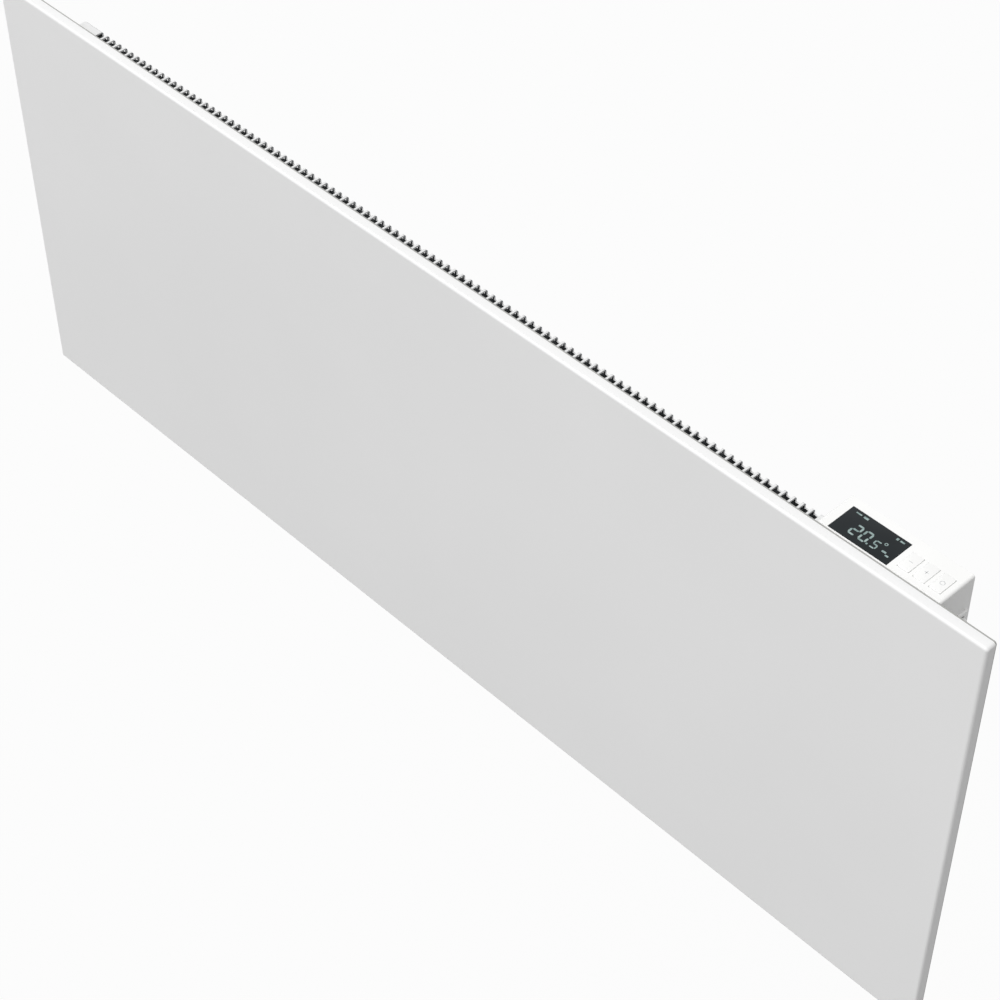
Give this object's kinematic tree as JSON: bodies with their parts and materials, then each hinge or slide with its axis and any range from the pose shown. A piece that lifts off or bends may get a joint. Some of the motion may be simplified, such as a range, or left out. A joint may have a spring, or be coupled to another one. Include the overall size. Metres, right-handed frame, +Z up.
{
  "type": "wall panel convector heater",
  "caption": "Slim wall-mounted electric panel convector heater with a slotted top outlet, an end control housing with display, push keys and rocker switch, and a quarter-turn wall bracket.",
  "frame": {"origin": "middle of the wall bracket's four wall slots, in the plane of the wall", "axes": "+X along the panel towards the control housing, +Y from the room into the wall, +Z up"},
  "size_m": [0.929, 0.074, 0.37],
  "materials": {
    "white_painted_steel": "matt powder coat",
    "galvanised_steel": "zinc coated sheet",
    "white_plastic": "fine satin",
    "dark_window": "glossy smoked",
    "display_module": "liquid crystal module",
    "circuit_board": "solder resist",
    "white_bracket_steel": "matt powder coat",
    "lock_plastic": "glass filled nylon",
    "foam_rubber": "soft pad",
    "zinc_screws": "zinc plated",
    "aluminium": "extruded",
    "sheath_steel": "annealed",
    "ceramic": "unglazed ceramic",
    "black_plastic": "moulded",
    "transformer_yellow": "taped winding",
    "terminal_green": "moulded",
    "lead_brown": "silicone sleeve",
    "lead_blue": "silicone sleeve",
    "lead_earth": "silicone sleeve",
    "tinned_brass": "tinned",
    "clip_nylon": "natural nylon",
    "ribbon_grey": "flat cable"
  },
  "bodies": {
    "heater": {"back_cover": "white_painted_steel", "board_screws": "zinc_screws", "bracket_pads": "foam_rubber", "bracket_upright_left": "white_bracket_steel", "bracket_upright_right": "white_bracket_steel", "cable_inlet": "black_plastic", "capacitor": "black_plastic", "casing_screws": "zinc_screws", "ceramic_bush_left": "ceramic", "ceramic_bush_right": "ceramic", "control_board": "circuit_board", "control_cover": "white_plastic", "control_housing": "white_plastic", "cover_screws": "zinc_screws", "cutout_lead": "lead_brown", "display_module": "display_module", "display_window": "dark_window", "earth_lead": "lead_earth", "earth_tag": "tinned_brass", "element_fins": "aluminium", "element_support_left": "galvanised_steel", "element_support_right": "galvanised_steel", "end_plate_screws": "zinc_screws", "front_panel": "white_painted_steel", "heat_shield": "galvanised_steel", "heater_rod": "sheath_steel", "lead_clips": "clip_nylon", "lead_grommet": "black_plastic", "left_end_plate": "white_painted_steel", "live_lead": "lead_brown", "lower_cross_rail": "white_bracket_steel", "lower_rail": "galvanised_steel", "neutral_lead": "lead_blue", "outlet_grille": "white_painted_steel", "power_board": "circuit_board", "relay": "black_plastic", "ribbon_cable": "ribbon_grey", "right_end_plate": "white_painted_steel", "room_sensor": "black_plastic", "support_screws": "zinc_screws", "switch_body": "black_plastic", "terminal_block": "terminal_green", "thermal_cutout": "black_plastic", "transformer": "transformer_yellow", "upper_cross_rail": "white_bracket_steel", "upper_rail": "galvanised_steel"},
    "minus_key": {"minus_key": "white_plastic"},
    "plus_key": {"plus_key": "white_plastic"},
    "mode_key": {"mode_key": "white_plastic"},
    "rocker": {"rocker": "white_plastic"},
    "lock_left": {"lock_lever_left": "lock_plastic", "lock_bar_left": "lock_plastic"},
    "lock_right": {"lock_lever_right": "lock_plastic", "lock_bar_right": "lock_plastic"}
  },
  "joints": [
    {"name": "minus_key_press", "type": "slide", "parent": "heater", "child": "minus_key", "axis": [0, 0, -1], "range_m": [0, 0.0008], "stiffness_N_per_m": 900, "springref_m": -0.001},
    {"name": "plus_key_press", "type": "slide", "parent": "heater", "child": "plus_key", "axis": [0, 0, -1], "range_m": [0, 0.0008], "stiffness_N_per_m": 900, "springref_m": -0.001},
    {"name": "mode_key_press", "type": "slide", "parent": "heater", "child": "mode_key", "axis": [0, 0, -1], "range_m": [0, 0.0008], "stiffness_N_per_m": 900, "springref_m": -0.001},
    {"name": "rocker_turn", "type": "hinge", "parent": "heater", "child": "rocker", "pos_m": [0.4216, -0.0428, 0.1575], "axis": [0, -1, 0], "range_deg": [0, 18]},
    {"name": "lock_left_turn", "type": "hinge", "parent": "heater", "child": "lock_left", "pos_m": [-0.23, -0.0254, 0.09], "axis": [0, 1, 0], "range_deg": [0, 90]},
    {"name": "lock_right_turn", "type": "hinge", "parent": "heater", "child": "lock_right", "pos_m": [0.23, -0.0254, 0.09], "axis": [0, 1, 0], "range_deg": [0, 90]}
  ]
}
